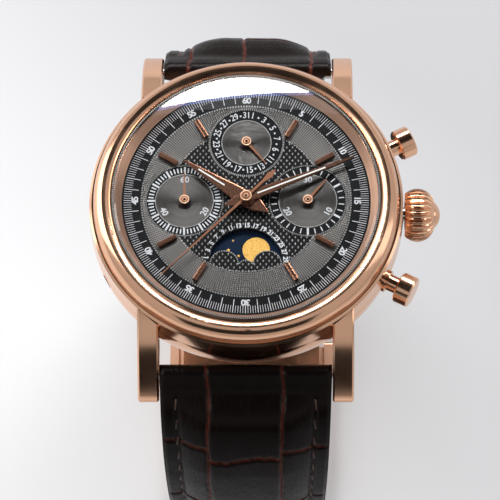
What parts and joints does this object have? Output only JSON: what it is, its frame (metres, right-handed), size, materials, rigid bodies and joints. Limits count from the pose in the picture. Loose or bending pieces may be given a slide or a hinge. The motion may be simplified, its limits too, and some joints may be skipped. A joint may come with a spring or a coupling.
{
  "type": "moon phase watch",
  "caption": "Round wristwatch with a moon window, small dials, an onion crown, round push-pieces and a padded strap closed by a folding clasp.",
  "frame": {"origin": "middle of the clasp's flat outer face, on which the closed watch stands", "axes": "+Z from the clasp up through the case, out of the dial; +Y to twelve o'clock; +X to the crown"},
  "size_m": [0.0448, 0.066, 0.0632],
  "materials": {
    "rose_gold": "polished 18-carat rose gold",
    "rose_gold_satin": "satin rose gold",
    "sapphire": "clear, blue-tinged coating",
    "steel": "brushed",
    "polished_steel": "polished",
    "movement_plate": "rhodium-plated, grained",
    "wheel_brass": "gilt brass",
    "balance_gold": "gilt",
    "ruby": "polished synthetic ruby",
    "black_rubber": "matt",
    "dial_black": "black lacquer with a grey engine-turned ring",
    "moon_sky": "deep blue lacquer",
    "moon_gold": "polished yellow gold",
    "hand_gold": "faceted rose gold",
    "black_leather": "glossy black scaled leather, brown stitching",
    "holder_steel": "fine turned"
  },
  "bodies": {
    "case": {"mid_case": "rose_gold", "bezel": "rose_gold", "crystal": "sapphire", "case_gaskets": "black_rubber", "flange_ring": "rose_gold_satin", "case_back": "rose_gold", "case_back_glass": "sapphire", "case_back_screws": "steel", "movement_ring": "holder_steel", "case_tubes": "polished_steel", "dial": "dial_black", "hour_markers": "hand_gold", "main_plate": "movement_plate", "barrel_bridge": "movement_plate", "train_bridge": "movement_plate", "balance_cock": "movement_plate", "stopwatch_bridge": "movement_plate", "bridge_screws": "steel", "jewels": "ruby", "spring_bars": "polished_steel", "hairspring": "steel"},
    "crown_carrier": {"crown_gasket": "black_rubber"},
    "crown": {"crown": "rose_gold", "winding_stem": "polished_steel"},
    "winding_pinion": {"winding_pinion": "steel"},
    "crown_wheel": {"crown_wheel": "steel"},
    "ratchet_wheel": {"ratchet_wheel": "steel"},
    "pusher_upper": {"pusher_upper": "rose_gold"},
    "pusher_lower": {"pusher_lower": "rose_gold"},
    "date_corrector": {"date_corrector": "polished_steel"},
    "moon_corrector": {"moon_corrector": "polished_steel"},
    "barrel": {"mainspring_barrel": "wheel_brass"},
    "centre_wheel": {"centre_wheel": "wheel_brass"},
    "third_wheel": {"third_wheel": "wheel_brass"},
    "fourth_wheel": {"fourth_wheel": "wheel_brass", "small_seconds_hand": "hand_gold"},
    "escape_wheel": {"escape_wheel": "steel"},
    "pallet_fork": {"pallet_fork": "polished_steel"},
    "balance": {"balance_wheel": "balance_gold"},
    "minute_group": {"cannon_pinion": "steel", "minute_hand": "hand_gold"},
    "minute_wheel": {"minute_wheel": "wheel_brass"},
    "hour_group": {"hour_wheel": "wheel_brass", "hour_hand": "hand_gold"},
    "stopwatch_group": {"stopwatch_wheel": "wheel_brass", "stopwatch_hand": "hand_gold"},
    "minute_counter": {"minute_counter_wheel": "wheel_brass", "minute_counter_hand": "hand_gold"},
    "date_group": {"date_wheel": "wheel_brass", "date_hand": "hand_gold"},
    "moon_group": {"moon_disc": "moon_sky", "moon_figures": "moon_gold"},
    "strap_upper": {"strap_upper": "black_leather"},
    "strap_lower": {"strap_lower": "black_leather", "strap_end_pin": "polished_steel"},
    "clasp_cover": {"clasp_cover": "rose_gold"},
    "clasp_blade": {"clasp_blade": "rose_gold"},
    "clasp_frame": {"clasp_frame": "rose_gold"},
    "clasp_button_left": {"clasp_button_left": "rose_gold_satin"},
    "clasp_button_right": {"clasp_button_right": "rose_gold_satin"}
  },
  "joints": [
    {"name": "crown_pull", "type": "slide", "parent": "case", "child": "crown_carrier", "axis": [1, 0, 0], "range_m": [0, 0.001]},
    {"name": "crown_turn", "type": "hinge", "parent": "crown_carrier", "child": "crown", "pos_m": [0.022, 0, 0.0555], "axis": [1, 0, 0], "continuous": true},
    {"name": "winding_pinion_turn", "type": "hinge", "parent": "case", "child": "winding_pinion", "pos_m": [0.01, 0, 0.0555], "axis": [1, 0, 0], "continuous": true},
    {"name": "crown_wheel_turn", "type": "hinge", "parent": "case", "child": "crown_wheel", "pos_m": [0.00785, 0, 0.0543], "axis": [0, 0, 1], "continuous": true},
    {"name": "ratchet_turn", "type": "hinge", "parent": "case", "child": "ratchet_wheel", "pos_m": [0.00319, 0.00491, 0.0543], "axis": [0, 0, 1], "continuous": true},
    {"name": "upper_pusher_press", "type": "slide", "parent": "case", "child": "pusher_upper", "axis": [-0.891, -0.454, 0], "range_m": [0, 0.0009], "stiffness_N_per_m": 400},
    {"name": "lower_pusher_press", "type": "slide", "parent": "case", "child": "pusher_lower", "axis": [-0.891, 0.454, 0], "range_m": [0, 0.0009], "stiffness_N_per_m": 400},
    {"name": "date_corrector_press", "type": "slide", "parent": "case", "child": "date_corrector", "axis": [0.887, -0.4617, 0], "range_m": [0, 0.0005], "stiffness_N_per_m": 400},
    {"name": "moon_corrector_press", "type": "slide", "parent": "case", "child": "moon_corrector", "axis": [0.887, 0.4617, 0], "range_m": [0, 0.0005], "stiffness_N_per_m": 400},
    {"name": "small_seconds_turn", "type": "hinge", "parent": "case", "child": "fourth_wheel", "pos_m": [-0.00785, 0, 0.0546], "axis": [0, 0, -1], "continuous": true},
    {"name": "third_wheel_turn", "type": "hinge", "parent": "case", "child": "third_wheel", "pos_m": [-0.00434, -0.00239, 0.0554], "axis": [0, 0, -1], "continuous": true},
    {"name": "centre_wheel_turn", "type": "hinge", "parent": "case", "child": "centre_wheel", "pos_m": [0, 0, 0.054], "axis": [0, 0, -1], "continuous": true},
    {"name": "barrel_turn", "type": "hinge", "parent": "case", "child": "barrel", "pos_m": [0.00319, 0.00491, 0.0555], "axis": [0, 0, -1], "continuous": true},
    {"name": "escape_wheel_turn", "type": "hinge", "parent": "case", "child": "escape_wheel", "pos_m": [-0.00833, -0.00343, 0.0549], "axis": [0, 0, -1], "continuous": true},
    {"name": "pallet_fork_swing", "type": "hinge", "parent": "case", "child": "pallet_fork", "pos_m": [-0.00707, -0.00553, 0.0549], "axis": [0, 0, 1], "range_deg": [-4, 4]},
    {"name": "balance_swing", "type": "hinge", "parent": "case", "child": "balance", "pos_m": [-0.00492, -0.00914, 0.0539], "axis": [0, 0, 1], "range_deg": [-135, 135], "stiffness_Nm_per_rad": 0.000002},
    {"name": "minute_hand_turn", "type": "hinge", "parent": "case", "child": "minute_group", "pos_m": [0, 0, 0.0609], "axis": [0, 0, -1], "continuous": true},
    {"name": "hour_hand_turn", "type": "hinge", "parent": "case", "child": "hour_group", "pos_m": [0, 0, 0.0606], "axis": [0, 0, -1], "continuous": true},
    {"name": "minute_wheel_turn", "type": "hinge", "parent": "case", "child": "minute_wheel", "pos_m": [0.00238, -0.00238, 0.0588], "axis": [0, 0, -1], "continuous": true},
    {"name": "stopwatch_turn", "type": "hinge", "parent": "case", "child": "stopwatch_group", "pos_m": [0, 0, 0.0612], "axis": [0, 0, -1], "continuous": true},
    {"name": "minute_counter_turn", "type": "hinge", "parent": "case", "child": "minute_counter", "pos_m": [0.00785, 0, 0.0602], "axis": [0, 0, -1], "continuous": true},
    {"name": "date_turn", "type": "hinge", "parent": "case", "child": "date_group", "pos_m": [0, 0.0082, 0.0602], "axis": [0, 0, -1], "continuous": true},
    {"name": "moon_turn", "type": "hinge", "parent": "case", "child": "moon_group", "pos_m": [0, -0.0086, 0.0593], "axis": [0, 0, -1], "continuous": true},
    {"name": "strap_upper_swing", "type": "hinge", "parent": "case", "child": "strap_upper", "pos_m": [0, 0.0215, 0.0537], "axis": [1, 0, 0], "range_deg": [0, 16]},
    {"name": "strap_lower_swing", "type": "hinge", "parent": "case", "child": "strap_lower", "pos_m": [0, -0.0215, 0.0537], "axis": [1, 0, 0], "range_deg": [-16, 0]},
    {"name": "clasp_cover_swing", "type": "hinge", "parent": "strap_upper", "child": "clasp_cover", "pos_m": [0, 0.0152, 0.0023], "axis": [1, 0, 0], "range_deg": [-8, 0]},
    {"name": "clasp_blade_swing", "type": "hinge", "parent": "clasp_cover", "child": "clasp_blade", "pos_m": [0, -0.009, 0.0022], "axis": [1, 0, 0], "range_deg": [0, 120]},
    {"name": "clasp_frame_swing", "type": "hinge", "parent": "clasp_blade", "child": "clasp_frame", "pos_m": [0, 0.01, 0.00305], "axis": [1, 0, 0], "range_deg": [-104, 0]},
    {"name": "left_button_press", "type": "slide", "parent": "clasp_cover", "child": "clasp_button_left", "axis": [1, 0, 0], "range_m": [0, 0.0005], "stiffness_N_per_m": 400},
    {"name": "right_button_press", "type": "slide", "parent": "clasp_cover", "child": "clasp_button_right", "axis": [-1, 0, 0], "range_m": [0, 0.0005], "stiffness_N_per_m": 400}
  ],
  "couplings": [
    {"joint": "winding_pinion_turn", "follows": "crown_turn", "ratio": 1},
    {"joint": "crown_wheel_turn", "follows": "crown_turn", "ratio": 0.53846},
    {"joint": "ratchet_turn", "follows": "crown_turn", "ratio": -0.25},
    {"joint": "third_wheel_turn", "follows": "small_seconds_turn", "ratio": -0.13333},
    {"joint": "centre_wheel_turn", "follows": "small_seconds_turn", "ratio": 0.016667},
    {"joint": "barrel_turn", "follows": "small_seconds_turn", "ratio": -0.0025641},
    {"joint": "escape_wheel_turn", "follows": "small_seconds_turn", "ratio": -10},
    {"joint": "hour_hand_turn", "follows": "minute_hand_turn", "ratio": 0.083333},
    {"joint": "minute_wheel_turn", "follows": "minute_hand_turn", "ratio": -0.33333},
    {"joint": "minute_counter_turn", "follows": "stopwatch_turn", "ratio": 0.033333},
    {"joint": "strap_lower_swing", "follows": "strap_upper_swing", "ratio": -1},
    {"joint": "clasp_cover_swing", "follows": "strap_upper_swing", "ratio": -0.5},
    {"joint": "clasp_blade_swing", "follows": "strap_upper_swing", "ratio": 7.5},
    {"joint": "clasp_frame_swing", "follows": "strap_upper_swing", "ratio": -6.5}
  ]
}
